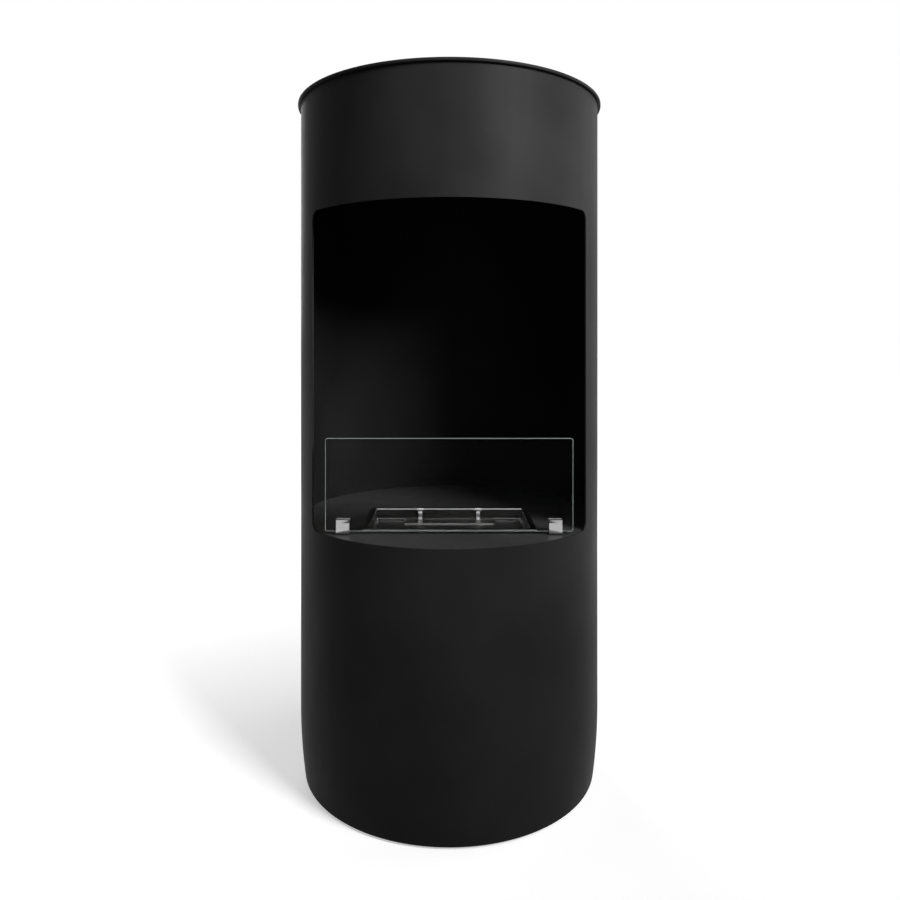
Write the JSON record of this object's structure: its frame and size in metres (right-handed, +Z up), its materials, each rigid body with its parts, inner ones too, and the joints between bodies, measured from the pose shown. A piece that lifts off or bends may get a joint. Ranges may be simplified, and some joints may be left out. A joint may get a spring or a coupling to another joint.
{
  "type": "free-standing ethanol fireplace",
  "caption": "Round free-standing ethanol fireplace: lacquered steel tube with closed top, wide front window, shelf with lift-out burner and hinged flame lid, low glass guard.",
  "frame": {"origin": "on the floor, on the tube's axis, under the foot pads", "axes": "+Z up along the tube's axis; the window faces -Y; +X to the right as the window is faced"},
  "size_m": [0.4079, 0.408, 0.8871],
  "materials": {
    "black_lacquer": "satin black high-temperature lacquer",
    "shelf_lacquer": "satin black high-temperature lacquer, slightly worn",
    "bracket_steel": "black primer on steel",
    "shield_steel": "mill finish steel with heat tint",
    "burner_steel": "brushed stainless steel",
    "lid_steel": "brushed stainless steel with heat tint",
    "clip_steel": "polished stainless steel",
    "zinc_fixings": "bright zinc plate",
    "ceramic_wool": "loose white ceramic fibre",
    "clear_glass": "clear toughened glass, ground edges",
    "pad_rubber": "black silicone",
    "foot_rubber": "black rubber"
  },
  "bodies": {
    "housing": {"tube_shell": "black_lacquer", "top_disc": "black_lacquer", "top_studs": "zinc_fixings", "top_brackets": "bracket_steel", "top_nuts": "zinc_fixings", "heat_shield": "shield_steel", "shield_rods": "zinc_fixings", "shield_sleeves": "zinc_fixings", "shield_nuts": "zinc_fixings", "shelf": "shelf_lacquer", "shelf_studs": "zinc_fixings", "shelf_brackets": "bracket_steel", "shelf_nuts": "zinc_fixings", "clip_left": "clip_steel", "clip_right": "clip_steel", "clip_pads": "pad_rubber", "clip_screws": "zinc_fixings", "base_plate": "bracket_steel", "base_brackets": "bracket_steel", "base_bolts": "zinc_fixings", "base_nuts": "zinc_fixings", "foot_pads": "foot_rubber", "foot_screws": "zinc_fixings"},
    "burner": {"burner_tank": "burner_steel", "burner_plate": "burner_steel", "ceramic_wool": "ceramic_wool", "hinge_ears": "burner_steel", "hinge_pins": "burner_steel"},
    "flame_lid": {"flame_lid": "lid_steel", "lid_straps": "lid_steel", "lid_rivets": "lid_steel"},
    "glass": {"glass_pane": "clear_glass"}
  },
  "joints": [
    {"name": "burner_lift", "type": "slide", "parent": "housing", "child": "burner", "axis": [0, 0, 1], "range_m": [0, 0.12]},
    {"name": "flame_lid_hinge", "type": "hinge", "parent": "burner", "child": "flame_lid", "pos_m": [0, 0.0095, 0.3402], "axis": [-1, 0, 0], "range_deg": [0, 115]},
    {"name": "glass_lift", "type": "slide", "parent": "housing", "child": "glass", "axis": [0, 0, 1], "range_m": [0, 0.15]}
  ]
}
